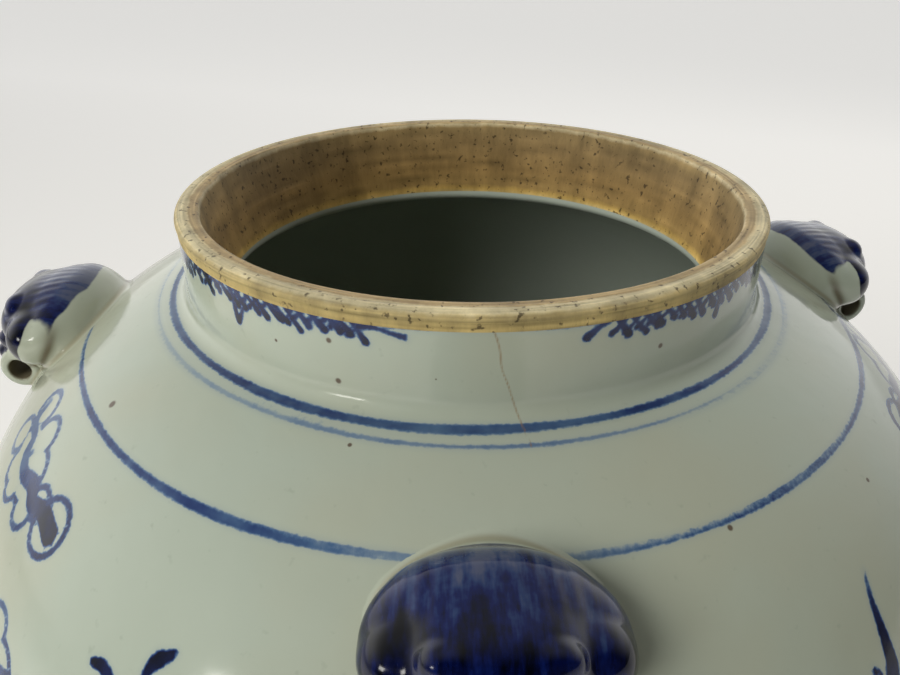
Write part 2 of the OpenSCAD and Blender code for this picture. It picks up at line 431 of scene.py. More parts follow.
def net(canvas, first, last, rng, pitch=2.3, drop=5.2):
    angle = first
    while angle < last:
        long = drop * rng.uniform(0.8, 1.15)
        lean = rng.uniform(2.2, 3.6)
        top = NET_TOP + rng.uniform(-0.6, 0.2)
        dark = rng.uniform(0.82, 1.02)
        wide = rng.uniform(1.35, 1.85)
        route = [(angle, top), (angle + 0.45 * lean, top + 0.55 * long), (angle + lean, top + long)]
        canvas.stroke(route, [wide * 1.25, wide * 0.8, wide * 1.15], [dark, 0.76, dark])
        if rng.random() < 0.9:
            back = [(angle + 2.3, top), (angle + 1.1, top + 0.5 * long), (angle - 0.5, top + 0.85 * long)]
            canvas.stroke(back, [wide, wide * 0.55, wide * 0.8], [dark, 0.7, 0.88])
        angle += pitch * rng.uniform(0.8, 1.2)


def paint_neck(canvas):
    rng = np.random.default_rng(7)
    for first, last in ((-178, -107), (-68, -20), (-12, 60), (66, 176)):
        net(canvas, first, last, rng)
    t = NET_TOP
    canvas.stroke([(-106, t + 2.6), (-103.6, t + 2.2), (-101, t + 3.0), (-99, t + 3.6)],
                  [1.5, 1.1, 1.0, 1.3], [0.95, 0.75, 0.7, 0.85])
    canvas.stroke([(-131, t), (-130.4, t + 4.5), (-129.6, t + 9.2)], [1.8, 1.2, 1.8], [0.95, 0.7, 0.95])
    canvas.stroke([(-126.5, t + 1.6), (-127.8, t + 5.2), (-129.2, t + 8.6)], [1.4, 0.9, 1.5],
                  [0.8, 0.6, 0.9])
    canvas.stroke([(-46.6, t), (-46.2, t + 3.6), (-46.6, t + 7.6)], [1.9, 1.5, 2.0], [1, 0.75, 1])
    canvas.stroke([(-72.5, t + 4.4), (-70.8, t + 2.6), (-69, t + 1.4)], [1.9, 1.3, 1.2], [0.9, 0.72, 0.7])
    canvas.stroke([(-108, t + 0.8), (-98, t + 1.2), (-88, t + 1.0), (-78, t + 1.2), (-68, t + 0.8)],
                  [1.9, 1.5, 1.2, 1.5, 1.9], [0.45, 0.34, 0.22, 0.34, 0.45])


# %% [markdown]
# ## Materials
# Everything starts from what the real thing is. Colours are given as hex values, as a paint chart
# would, and one function turns them linear for the shader. One more function adds a node with its
# settings and its links, and a few short ones name what the nodes do here most often.

# %% Colour and node helpers
def linear(hex_value):
    channels = [int(hex_value[i:i + 2], 16) / 255 for i in (1, 3, 5)]
    return tuple(c / 12.92 if c <= 0.04045 else ((c + 0.055) / 1.055) ** 2.4 for c in channels) + (1.0,)


def add(tree, kind, values=(), links=(), **settings):
    node = tree.nodes.new(kind)
    for key, value in settings.items():
        setattr(node, key, value)
    for key, value in dict(values).items():
        node.inputs[key].default_value = value
    for key, socket in dict(links).items():
        tree.links.new(socket, node.inputs[key])
    return node


def mixed(tree, amount, under, over):
    """Lays one colour over another; each is a hex value or a socket."""
    values, links = {}, {0: amount}
    for key, side in ((6, under), (7, over)):
        if isinstance(side, str):
            values[key] = linear(side)
        else:
            links[key] = side
    return add(tree, "ShaderNodeMix", values, links, data_type="RGBA").outputs[2]


def combined(tree, operation, first, second):
    """Arithmetic on two sides; each is a number or a socket."""
    values, links = {}, {}
    for key, side in enumerate((first, second)):
        (values if isinstance(side, float) else links)[key] = side
    return add(tree, "ShaderNodeMath", values, links, operation=operation).outputs[0]


def ranged(tree, value, source, target=(0.0, 1.0), smooth=False):
    """Stretches a value from one range to another, straight or with eased ends."""
    ends = {"From Min": source[0], "From Max": source[1], "To Min": target[0], "To Max": target[1]}
    kind = "SMOOTHSTEP" if smooth else "LINEAR"
    return add(tree, "ShaderNodeMapRange", ends, {"Value": value}, interpolation_type=kind).outputs[0]


def noise(tree, where, scale, detail, roughness=0.5):
    settings = {"Scale": scale, "Detail": detail, "Roughness": roughness}
    return add(tree, "ShaderNodeTexNoise", settings, {"Vector": where}).outputs["Fac"]


def colour_steps(tree, value, steps):
    """A colour ramp through (place, hex) steps."""
    node = add(tree, "ShaderNodeValToRGB", links={"Fac": value})
    marks = node.color_ramp.elements
    while len(marks) < len(steps):
        marks.new(0.5)
    for mark, (place, colour) in zip(marks, steps):
        mark.position = place
        mark.color = linear(colour)
    return node.outputs["Color"]


def carried(tree, key):
    """A value that the mesh carries at each point."""
    return add(tree, "ShaderNodeAttribute", attribute_name=key).outputs["Fac"]


def new_material(name):
    material = bpy.data.materials.new(name)
    material.use_nodes = True
    material.node_tree.nodes.clear()
    return material, material.node_tree


def finish(tree, shader):
    output = add(tree, "ShaderNodeOutputMaterial")
    tree.links.new(shader.outputs[0], output.inputs["Surface"])


# %% [markdown]
# ### Clear celadon-tinted glaze over cobalt
# The body is white porcelain under a thick lime glaze. A trace of iron makes it grey-green, and it
# is a touch warmer where it thins. Fired glaze is glass, so it is smooth (roughness near 0.1, index
# of refraction 1.5), but its surface is never quite flat: a faint orange peel a few millimetres
# across bends the reflections. Iron specks burn through as brown dots about a millimetre wide.
# Cobalt goes from a grey-blue wash through full blue to blue-black as the layer gets thicker, and
# its edge bleeds into the glaze.

# %% Porcelain glaze with painting
GLAZE = "#AFB9AB"
GLAZE_WARM = "#B0B29E"
COBALT_STEPS = [(0.0, "#A0ABA6"), (0.22, "#7A8EA0"), (0.42, "#48658A"), (0.62, "#1B3468"),
                (0.8, "#0A1846"), (1.0, "#04081C")]


# Each speck: angle, then height (neck) or slope distance (shoulder) in mm, then radius in mm.
NECK_SPOTS = [(-110.9, 336.3, 0.75), (-109.8, 327.5, 0.8), (-121, 332.9, 0.5), (-94.5, 330.8, 0.35),
              (-59.2, 333.1, 0.7), (-70.4, 323.4, 0.5), (62, 334, 0.7), (141, 329, 0.6)]
SHOULDER_SPOTS = [(-105.1, 5.2, 0.55), (-40.4, 34.2, 0.6), (-142.7, 20.4, 1.1), (20, 30, 0.6),
                  (110, 55, 0.8), (-62, 26.4, 0.7)]


def spot_place(angle, place, high):
    """A spot's point on the skin, in metres, from its angle and its height or slope distance."""
    turn = math.radians(angle)
    if high:
        radius, height = neck_face, place
    else:
        tilt = neck_angle - place / arc
        radius, height = arc_x + arc * math.cos(tilt), belly_z + arc * math.sin(tilt)
    return tuple(v * MM for v in (radius * math.cos(turn), radius * math.sin(turn), height))


def iron_spots(tree, where, ground):
    """Iron specks that burned through the glaze: a dark pit with a rusty ring."""
    spots = [(spot_place(a, z, True), r) for a, z, r in NECK_SPOTS]
    spots += [(spot_place(a, s, False), r) for a, s, r in SHOULDER_SPOTS]
    for place, radius in spots:
        away = add(tree, "ShaderNodeVectorMath", {1: place}, {0: where}, operation="DISTANCE")
        fade = (1.1 * radius * MM, 0.5 * radius * MM)
        rust = ranged(tree, away.outputs["Value"], fade, (0.0, 0.85), smooth=True)
        ground = mixed(tree, rust, ground, "#4A2E1C")
    return ground


def hairline(tree, ground):
    """A stained hairline crack down from the rim."""
    stain = ranged(tree, carried(tree, "crack_mm"), (-0.35, 0.1), (0.0, 0.7), smooth=True)
    return mixed(tree, stain, ground, "#8A6B45")


def glaze_colour(tree, where):
    """Mottled grey-green glaze: slow drift in tone, faint warm clouds and tiny grey specks."""
    warm = ranged(tree, noise(tree, where, 14.0, 3.0, 0.55), (0.42, 0.72))
    base = mixed(tree, warm, GLAZE, GLAZE_WARM)
    speck = ranged(tree, noise(tree, where, 420.0, 2.0), (0.68, 0.8), (0.0, 0.35))
    return mixed(tree, speck, base, "#8E9788")


def brush_amount(tree, where):
    """Darkness of the painting: crisp distance marks, feathered and slightly frayed."""
    mm = carried(tree, "brush_mm")
    wander = combined(tree, "MULTIPLY", noise(tree, where, 900.0, 2.0), 0.7)
    cover = ranged(tree, combined(tree, "ADD", mm, wander), (-0.1, 0.75), smooth=True)
    uneven = ranged(tree, noise(tree, where, 160.0, 3.0), (0.3, 0.7), (0.82, 1.15))
    loaded = combined(tree, "MULTIPLY", carried(tree, "brush_tone"), uneven)
    bleed = ranged(tree, mm, (-1.6, 0.4), (0.0, 0.1), smooth=True)
    return combined(tree, "MAXIMUM", combined(tree, "MULTIPLY", cover, loaded), bleed)


def painted_colour(tree, where, ground):
    amount = brush_amount(tree, where)
    cover = ranged(tree, amount, (0.0, 0.25))
    return mixed(tree, cover, ground, colour_steps(tree, amount, COBALT_STEPS))


def orange_peel(tree, where):
    swell = noise(tree, where, 130.0, 2.0)
    return add(tree, "ShaderNodeBump", {"Strength": 0.22, "Distance": 0.0006}, {"Height": swell})


def glossy_glaze(tree, colour, normal, where):
    """Glass over clay: slightly rubbed, so the roughness drifts between 0.09 and 0.17."""
    rough = ranged(tree, noise(tree, where, 35.0, 4.0), (0.35, 0.7), (0.09, 0.17))
    return add(tree, "ShaderNodeBsdfPrincipled", {"IOR": 1.5},
               {"Base Color": colour, "Roughness": rough, "Normal": normal.outputs["Normal"]})


def painted_porcelain():
    material, tree = new_material("celadon_white_glaze_over_cobalt")
    where = add(tree, "ShaderNodeTexCoord").outputs["Object"]
    colour = painted_colour(tree, where, glaze_colour(tree, where))
    colour = hairline(tree, iron_spots(tree, where, colour))
    finish(tree, glossy_glaze(tree, colour, orange_peel(tree, where), where))
    return material


glaze = painted_porcelain()


# %% [markdown]
# ### The inside glaze
# Inside, the glaze is poured and swirled, close to the outer grey-green, and it is seen in the pot's own
# shade.

# %% Inner glaze
def inner_glaze():
    material, tree = new_material("poured_inner_glaze")
    where = add(tree, "ShaderNodeTexCoord").outputs["Object"]
    colour = mixed(tree, noise(tree, where, 18.0, 3.0), "#A9B4AA", "#B9C2B6")
    finish(tree, glossy_glaze(tree, colour, orange_peel(tree, where), where))
    return material


inside = inner_glaze()


# %% [markdown]
# ### Bare clay
# Unglazed porcelain (biscuit) is matte. Where it was wiped at the rim, iron in the clay has flashed
# it from cream to tan, its turning marks make it darker in their grooves and lighter on their
# ridges, and small pits show dark.

# %% Foot and base biscuit
def foot_biscuit():
    material, tree = new_material("fired_biscuit_clay")
    where = add(tree, "ShaderNodeTexCoord").outputs["Object"]
    colour = mixed(tree, noise(tree, where, 60.0, 6.0, 0.6), "#B79B78", "#D8CDB2")
    grit = noise(tree, where, 900.0, 3.0)
    bump = add(tree, "ShaderNodeBump", {"Strength": 0.5, "Distance": 0.0004}, {"Height": grit})
    finish(tree, add(tree, "ShaderNodeBsdfPrincipled", {"Roughness": 0.85},
                     {"Base Color": colour, "Normal": bump.outputs["Normal"]}))
    return material


biscuit = foot_biscuit()

# %% [markdown]
# The rim's colour changes with the way over it: a gold-tan edge where the glaze stopped, a cream
# crown with turning rings, a pinkish flat, a pale line along the inner edge that is a painted
# highlight, then the brown inner wall and a gold line at the lip.
# Each point of the neck carries that way in millimetres, so one colour ramp can follow it.

# %% Wiped rim
# Each step is a way over the rim in mm and its colour; the pale step at 7.3 mm, on the inner edge, is a
# painted highlight.
RIM_COLOURS_AND_EDGE_HIGHLIGHT = [(-2, "#B29D66"), (0.2, "#AC9A68"), (1.3, "#B3A274"), (2.2, "#C9BD98"), (3.2, "#C8BC98"),
             (4.4, "#BFB08A"),
             (4.9, "#A8926A"), (6.6, "#B39C72"), (7.3, "#C8B994"), (8.4, "#9A845A"), (12, "#917A52"),
             (22, "#93784A"), (27.5, "#9A7F4D"), (29, "#C0A05A"), (31, "#CBB77F")]


def wiped_rim_material():
    material, tree = new_material("wiped_biscuit_rim")
    where = add(tree, "ShaderNodeTexCoord").outputs["Object"]
    shift = ranged(tree, noise(tree, where, 260.0, 5.0, 0.65), (0.0, 1.0), (-1.1, 1.1))
    frayed = combined(tree, "ADD", carried(tree, "along_mm"), shift)
    first, last = RIM_COLOURS_AND_EDGE_HIGHLIGHT[0][0], RIM_COLOURS_AND_EDGE_HIGHLIGHT[-1][0]
    rim_steps_and_highlight = [((way - first) / (last - first), colour) for way, colour in RIM_COLOURS_AND_EDGE_HIGHLIGHT]
    ground = colour_steps(tree, ranged(tree, frayed, (first, last)), rim_steps_and_highlight)
    stretch = add(tree, "ShaderNodeMapping", {"Scale": (1.0, 1.0, 0.25)}, {"Vector": where})
    blotch = noise(tree, stretch.outputs[0], 90.0, 7.0, 0.7)
    tone = ranged(tree, blotch, (0.3, 0.7), (0.62, 1.38))
    # The same turning values that raise the bump darken the colour in the grooves and lighten it on the
    # ridges.
    turning = carried(tree, "turning")
    groove = ranged(tree, turning, (-2.0, 2.0), (0.68, 1.3))
    shade = combined(tree, "MULTIPLY", tone, groove)
    mottled = add(tree, "ShaderNodeVectorMath", {}, {0: ground, 1: shade}, operation="MULTIPLY").outputs[0]
    pits = ranged(tree, noise(tree, where, 700.0, 2.0), (0.62, 0.7), (0.0, 0.75))
    colour = mixed(tree, pits, mottled, "#2A1D12")
    height = combined(tree, "ADD", combined(tree, "MULTIPLY", turning, 0.12), blotch)
    bump = add(tree, "ShaderNodeBump", {"Strength": 0.6, "Distance": 0.0005}, {"Height": height})
    finish(tree, add(tree, "ShaderNodeBsdfPrincipled", {"Roughness": 0.62, "IOR": 1.45},
                     {"Base Color": colour, "Normal": bump.outputs["Normal"]}))
    return material


wiped_rim = wiped_rim_material()

# %% [markdown]
# ## The pot's sections
# Each section is its own closed piece, meeting the next face to face, as the potter luted them.

# %% Foot, base and lower body
FINE = 1.1
COARSE = 5.0


def use(piece, node):
    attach(piece, "root")
    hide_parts(node)
    return piece


CRACK = [(-88.0, 345), (-87.8, 343.5), (-86.4, 341.6), (-85.4, 337.6), (-85.0, 333.5), (-84.0, 329.8),
         (-82.5, 323.6), (-82.1, 322.4)]
CRACK_MIDDLE = (-85, -12)


def crack_distance(canvas):
    """Millimetres from the hairline crack's line, counted negative."""
    route = np.array([(angle, slope_at(height)) for angle, height in CRACK] + [(-81.4, 3.8)])
    line = smooth_curve(route, 4)
    far = np.full(len(canvas.mm), 9.0)
    index, across, down = canvas.near(*CRACK_MIDDLE, 30)
    nearest = np.full(len(index), 9.0)
    for (a0, s0), (a1, s1) in zip(line, line[1:]):
        ax = across - math.radians(a0 - CRACK_MIDDLE[0]) * canvas.rho[index]
        ay = down - (s0 - CRACK_MIDDLE[1])
        bx = math.radians(a1 - a0) * canvas.rho[index]
        by = s1 - s0
        nearest = np.minimum(nearest, beside(ax, ay, bx, by)[1])
    far[index] = nearest
    return 0.05 - far


def paint(piece, canvas):
    carries = {"brush_mm": canvas.mm, "brush_tone": canvas.tone, "crack_mm": crack_distance(canvas)}
    for name, values in carries.items():
        attribute = piece.data.attributes.new(name, "FLOAT", "POINT")
        attribute.data.foreach_set("value", values.astype(np.float32))


def points_of(piece):
    co = np.empty(len(piece.data.vertices) * 3, np.float32)
    piece.data.vertices.foreach_get("co", co)
    return co.reshape(-1, 3).astype(float) / MM


bevel = 1.2
foot_outline = joined(
    spaced([(foot_in + bevel, 0), (foot_out - bevel, 0)], 1.5),
    spaced([(foot_out - bevel, 0), (foot_out, bevel)], 0.6),
    spaced([(foot_out, bevel), (foot_top_r, foot_z)], 1.5),
    spaced([(foot_top_r, foot_z), (foot_in, foot_z)], 1.5),
    spaced([(foot_in, foot_z), (foot_in, bevel)], 1.5))
use(turned("foot_ring_turned", foot_outline, 512, [biscuit]), "foot_ring")

base_outline = joined(
    spaced([(0.05, foot_z), (base_r, foot_z)], 2),
    spaced([(base_r, foot_z), (base_r, base_z)], 2),
    spaced([(base_r, base_z), (0.05, base_z)], 2))
use(turned("base_disc_turned", base_outline, 256, [biscuit]), "base_disc")

outer = spaced(lower_points()[::-1], 1.75)
inner = spaced(lower_points(wall, 240, 0.0, 0.955), COARSE)
lower_outline = joined(
    outer, spaced([(belly_r, belly_z), (belly_in, belly_z)], 2), inner,
    np.array([[base_r, base_z]]), np.array([[base_r, foot_z]]))
in_slots = np.zeros(len(lower_outline), int)
in_slots[len(outer) + 3:-2] = 1
LOWER_COLUMNS = 600
lower = use(turned("lower_body_thrown", lower_outline, LOWER_COLUMNS, [glaze, inside], in_slots),
            "lower_body")
canvas = Canvas(points_of(lower), len(outer) * LOWER_COLUMNS)
paint_pot(canvas)
paint(lower, canvas)

# %% Shoulder section
outer = spaced(shoulder_points(arc), FINE)
inner_arc = arc - wall
lip_angle = math.acos((lip_r + 2 - arc_x) / inner_arc)
lip = [(lip_r, neck_z), (lip_r, neck_z - 1.2), (lip_r + 0.5, neck_z - 2.2),
       (lip_r + 2, belly_z + inner_arc * math.sin(lip_angle))]
inner = spaced(shoulder_points(inner_arc, 0.0, lip_angle)[::-1], COARSE)
upper_outline = joined(
    outer, spaced([(neck_r, neck_z), (lip_r, neck_z)], 2), spaced(lip, 0.6), inner,
    spaced([(belly_in, belly_z), (belly_r, belly_z)], 2)[:-1])
in_slots = np.zeros(len(upper_outline), int)
in_slots[len(outer) + 6:-3] = 1
UPPER_COLUMNS = 760
upper = use(turned("upper_body_thrown", upper_outline, UPPER_COLUMNS, [glaze, inside], in_slots),
            "upper_body")
canvas = Canvas(points_of(upper), len(outer) * UPPER_COLUMNS)
paint_pot(canvas)
paint(upper, canvas)

# %% Neck section
round_r, round_h = 2.5, 1.35
over = arc_points((0, 0), 1.0, 0, 90, 24) * [round_r, round_h] + [rim_r - round_r, rim_z - round_h]
outer = joined(
    spaced(neck_curve, 0.5),
    spaced([(neck_face, neck_z + FILLET), (neck_face, rim_z - 10.5)], 0.9),
    spaced([(neck_face, rim_z - 10.5), (neck_face + 0.05, GLAZE_LINE - 0.2)], 0.42),
    spaced([(neck_face + 0.05, GLAZE_LINE - 0.2), (rim_r - 0.05, GLAZE_LINE + 0.35), over[0]], 0.3),
    spaced(over, 0.3))
top_face = spaced([over[-1], (over[-1][0] - 0.5, rim_z - 0.14), (rim_in + 0.7, rim_z - 0.1),
                   (rim_in + 0.2, rim_z - 0.35)], 0.4)
inner = spaced([(rim_in + 0.2, rim_z - 0.35), (rim_in, rim_z - 1.0), (lip_r + 0.2, neck_z + 1.5),
                (lip_r, neck_z)], 1.6)
neck_outline = joined(outer, top_face, inner, spaced([(lip_r, neck_z), (neck_r, neck_z)], 3)[:-1])
row_run = np.r_[0, np.cumsum(np.hypot(*np.diff(neck_outline, axis=0).T))]
start = np.argmax(neck_outline[:, 1] > GLAZE_LINE)
along = row_run - row_run[start]
in_slots = (along > -2).astype(int)
in_slots[len(outer) + len(top_face) + len(inner) - 2:] = 0
NECK_COLUMNS = 1280
neck = use(turned("neck_collar_thrown", neck_outline, NECK_COLUMNS, [glaze, wiped_rim], in_slots),
           "neck_collar")
rng = np.random.default_rng(21)
coarse = rng.normal(0, 1, (len(neck_outline), 40))
coarse[:, -1] = coarse[:, 0]
knots = np.linspace(0, 1, 40)
around = np.arange(NECK_COLUMNS) / NECK_COLUMNS
streaks = np.array([np.interp((around + rng.uniform()) % 1, knots, row) for row in coarse])
for key, values in (("along_mm", np.repeat(along, NECK_COLUMNS)), ("turning", streaks.ravel())):
    attribute = neck.data.attributes.new(key, "FLOAT", "POINT")
    attribute.data.foreach_set("value", values.astype(np.float32))
canvas = Canvas(points_of(neck), len(outer) * NECK_COLUMNS)
paint_pot(canvas)
paint_neck(canvas)
paint(neck, canvas)

# %% [markdown]
# ## The animal-head lugs
# Each lug is a lion-like head pressed in a mould and stuck to the shoulder while the clay was damp:
# a domed crown with combed hair, round cheeks and temples, two small eyes, a snout with nostril
# knobs, and a jaw rolled into a loop for a ring. Pressed clay has no edges, everything melts into
# everything else, and the glaze rounds it further. So the head is made as a distance field: simple
# bodies whose distances are blended, with the pot's own skin blended in at the foot of the lug.

# %% Distance-field tools
def blend(a, b, k):
    """Union of two bodies with a soft fillet of about k mm."""
    h = np.clip(0.5 + 0.5 * (b - a) / k, 0, 1)
    return b + (a - b) * h - k * h * (1 - h)


def ball(p, centre, radii, power=2.0):
    """Distance to an ellipsoid; a higher power makes it boxier."""
    radii = np.broadcast_to(np.asarray(radii, float), 3)
    q = [np.abs((p[i] - centre[i]) / radii[i]) for i in range(3)]
    reach = sum(v ** power for v in q) ** (1 / power)
    return (reach - 1) * radii.min() * np.clip(0.6 + 0.4 * reach, 0.7, 1.4)


def dome(p, centre, radii, plan=2.4, side=3.2):
    """Steep-sided dome: an oval in plan with a flattened top."""
    q = [np.abs((p[i] - centre[i]) / radii[i]) for i in range(3)]
    reach = ((q[0] ** plan + q[1] ** plan) ** (side / plan) + q[2] ** side) ** (1 / side)
    return (reach - 1) * min(radii) * np.clip(0.6 + 0.4 * reach, 0.7, 1.4)


def pair(p, centre, radii, power=2.0):
    """The same body on the left and on the right."""
    return ball((np.abs(p[0]), p[1], p[2]), centre, radii, power)


def tube(p, centre, radius, half, soft):
    """Rounded cylinder lying across the lug."""
    side = np.hypot(p[1] - centre[0], p[2] - centre[1]) - radius + soft
    end = np.abs(p[0]) - half + soft
    return (np.minimum(np.maximum(side, end), 0) + np.hypot(np.maximum(side, 0), np.maximum(end, 0)) - soft)


# %% [markdown]
# The lug's own axes are x across, y up the slope and z straight out of the pot. The record states
# where each ring hole is and which way it runs, and that fixes the whole lug: the loop around the
# hole stays exactly where the frame has it.

# %% Where each lug stands
HOLE_BACK = 18.7
LUGS = ("front", "right", "back", "left")
mounts = {m["name"]: m for m in frame["record"]["mounts"]}


def lug_place(name):
    mount = mounts[name + "_ring_hole"]
    hole = np.array(mount["pos_m"]) / MM
    turn = math.atan2(hole[1], hole[0])
    out, up = math.hypot(hole[0], hole[1]) - arc_x, hole[2] - belly_z
    far = math.hypot(out, up)
    phi = math.atan2(up, out) + math.asin(HOLE_BACK / far)
    normal = np.array([math.cos(phi) * math.cos(turn), math.cos(phi) * math.sin(turn), math.sin(phi)])
    rise = np.array([-math.sin(phi) * math.cos(turn), -math.sin(phi) * math.sin(turn), math.cos(phi)])
    across = np.cross(rise, normal)
    ring_r = arc_x + arc * math.cos(phi)
    origin = np.array([ring_r * math.cos(turn), ring_r * math.sin(turn), belly_z + arc * math.sin(phi)])
    hole_z = far * math.cos(math.asin(HOLE_BACK / far)) - arc
    hole_r = mount["dims"]["r_mm"]
    return origin, np.array([across, rise, normal]), hole_z, hole_r


def pot_distance(p, origin, axes):
    world = origin + sum(p[i][..., None] * axes[i] for i in range(3))
    rho = np.hypot(world[..., 0], world[..., 1])
    rho = rho - thrown(np.arctan2(world[..., 1], world[..., 0]), world[..., 2])
    return np.hypot(rho - arc_x, world[..., 2] - belly_z) - arc


for name in LUGS:
    origin, axes, hole_z, hole_r = lug_place(name)
    print(f"{name} lug at", origin.round(1), f"hole {hole_z:.2f} mm out, radius {hole_r} mm")


# %% [markdown]
# ### The head's bodies
# The numbers are millimetres in the lug's own axes. Every call returns the part's distances one by
# one, so the same function gives the blended surface and tells which part each point belongs to.

# %% Head of the lug
PARTS = ("head", "ears", "eyes", "snout", "loop")


def lug_bodies(p, hole_z, hole_r, lean):
    x, y, z = p
    hood = dome((x - lean, y, z), (0, 3.8, 0), (20.0, 12.8, 13.6), plan=2.2, side=2.7)
    forehead = dome(p, (0, -2.0, 1.0), (14.4, 12.0, 15.4))
    brow = ball(p, (0, -2.5, 9.5), (13.0, 8.0, 8.6), 2.2)
    hair = np.cos(2 * math.pi * (np.abs(x) + 0.12 * y) / 2.9)
    combed = np.clip((y - 4) / 4, 0, 1) * np.clip((15 - y) / 4, 0, 1) * np.clip((z - 7) / 4, 0, 1)
    head = blend(blend(hood, forehead, 4.0), brow, 4.0) + 0.035 * hair * combed
    tail = ball(p, (0, 6.6, -4.5), (12.6, 12.2, 6.2))
    head = blend(head, tail, 3.0)
    cheeks = pair(p, (15.0, -0.5, 6.6), (6.8, 6.8, 6.8))
    ridge = pair(p, (14.4, 1.0, 5.2), (7.4, 8.8, 5.8))
    ears = blend(cheeks, ridge, 0.6)
    eyes = pair(p, (8.2, -0.6, 15.4), (3.8, 2.9, 2.9))
    muzzle = ball(p, (0, -12.5, 6.0), (8.8, 6.4, 7.4), 2.3)
    nostrils = pair(p, (2.9, -15.2, 11.2), (3.0, 2.9, 2.9))
    lip = pair(p, (1.9, -19.6, 9.2), (3.2, 2.6, 2.7))
    snout = blend(blend(muzzle, nostrils, 1.4), lip, 1.2)
    loop = tube(p, (-HOLE_BACK, hole_z), hole_r + 2.9, 7.6, 1.8)
    return head, ears, eyes, snout, loop


def lug_field(p, origin, axes, hole_z, hole_r, lean):
    head, ears, eyes, snout, loop = lug_bodies(p, hole_z, hole_r, lean)
    body = blend(head, ears, 1.8)
    body = blend(body, eyes, 1.2)
    body = blend(body, snout, 1.8)
    body = blend(body, loop, 1.4)
    hole = hole_r - np.hypot(p[1] + HOLE_BACK, p[2] - hole_z)
    body = -blend(-body, -hole, 0.7)
    crease = np.minimum.reduce([head, ears, eyes, snout, loop]) - body
    skin_gap = pot_distance(p, origin, axes)
    return blend(body, skin_gap, 1.6), crease, skin_gap, (head, ears, eyes, snout, loop)


# %% [markdown]
# ### From distances to a mesh
# Surface nets put one point in every small cell the surface passes through, at the mean of its edge
# crossings, and join neighbours into quads. Two Newton steps then pull each point exactly onto the
# surface, and the field's own slope gives each point its normal, so the shading is as smooth as
# poured glaze.

# %% Surface nets
def surface_nets(field, low, step):
    shape = np.array(field.shape) - 1
    total = np.zeros((*shape, 3))
    count = np.zeros(shape, int)
    number = np.full(shape, -1)
    crossings = []
    for axis in range(3):
        a = np.moveaxis(field, axis, 0)
        crossed = (a[:-1] < 0) != (a[1:] < 0)
        i, j, k = np.nonzero(crossed)
        start, end = a[i, j, k], a[i + 1, j, k]
        place = np.stack([i + start / (start - end), j, k], axis=1)
        order = [axis] + [n for n in range(3) if n != axis]
        back = np.argsort(order)
        cells = []
        for dj, dk in ((0, 0), (1, 0), (1, 1), (0, 1)):
            cell = np.stack([i, j - dj, k - dk], axis=1)[:, back]
            cells.append(cell)
            ok = ((cell >= 0) & (cell < shape)).all(axis=1)
            at = tuple(cell[ok].T)
            np.add.at(total, at, place[ok][:, back])
            np.add.at(count, at, 1)
        crossings.append((cells, (start < 0) ^ (axis == 1)))
    used = count > 0
    number[used] = np.arange(used.sum())
    points = low + step * total[used] / count[used][:, None]
    quads = []
    for cells, outward in crossings:
        ok = np.all([((c >= 0) & (c < shape)).all(axis=1) for c in cells], axis=0)
        quad = np.stack([number[tuple(c[ok].T)] for c in cells], axis=1)
        quads.append(np.where(outward[ok][:, None], quad[:, ::-1], quad))
    return points, np.vstack(quads)


def field_slope(points, sample, h=0.05):
    columns = []
    for axis in range(3):
        ahead, behind = points.copy(), points.copy()
        ahead[:, axis] += h
        behind[:, axis] -= h
        columns.append((sample(ahead) - sample(behind)) / (2 * h))
    return np.stack(columns, axis=1)


# %% [markdown]
# ### One lug, five pieces
# The skin is cut by which body is nearest, so the head, ears, eyes, snout and loop stay separate
# pieces that share their seams. Each is a closed shell: the glazed skin outside, a copy set inwards,
# and a narrow wall along the seam. HEM is how far out from the pot, in mm, the painter's blue stops:
# the front head is painted almost to its foot, the side heads keep a broad white hem.

# %% Build the lugs
SKIN = 1.2
STEP = 0.52
HEM = {"front": 0.7, "right": 4.8, "back": 3.2, "left": 4.8}


def make_lug(name, seed):
    origin, axes, hole_z, hole_r = lug_place(name)
    rng = np.random.default_rng(seed)
    lean = rng.uniform(-0.6, 0.6)
    low = np.array([-27.0, -30.0, -8.0])
    counts = (np.array([54.0, 62.0, 31.0]) / STEP).astype(int)
    p = np.meshgrid(*[low[i] + STEP * np.arange(counts[i]) for i in range(3)], indexing="ij")
    field = lug_field(p, origin, axes, hole_z, hole_r, lean)[0]
    points, quads = surface_nets(field, low, STEP)
    sample = lambda q: lug_field(tuple(q.T), origin, axes, hole_z, hole_r, lean)[0]
    for _ in range(2):
        slope = field_slope(points, sample)
        points = points - slope * (sample(points) / (slope ** 2).sum(axis=1).clip(0.05))[:, None]
    slope = field_slope(points, sample)
    normals = slope / np.linalg.norm(slope, axis=1)[:, None].clip(1e-6)
    _, crease, gap, bodies = lug_field(tuple(points.T), origin, axes, hole_z, hole_r, lean)
    label = np.argmin(np.stack(bodies), axis=0)
    keep = (gap > 0.02)[quads].all(axis=1)
    quads = quads[keep]
    corners = points[quads]
    facing = np.cross(corners[:, 2] - corners[:, 0], corners[:, 3] - corners[:, 1])
    wrong = (facing * normals[quads[:, 0]]).sum(axis=1) < 0
    quads[wrong] = quads[wrong][:, ::-1]
    part = np.array([np.bincount(row, minlength=5).argmax() for row in label[quads]])
    bore = hole_r - np.hypot(points[:, 1] + HOLE_BACK, points[:, 2] - hole_z)
    attributes = lug_paint(points, crease, gap, bodies, bore, HEM[name], rng)
    points = points - normals * (0.1 * (gap < 0.05))[:, None]
    world = origin + points @ axes
    turned_normals = normals @ axes
    for k, kind in enumerate(PARTS):
        node = f"{name}_{kind}"
        make_shell(node + "_pressed", node, world, turned_normals, quads[part == k], attributes)


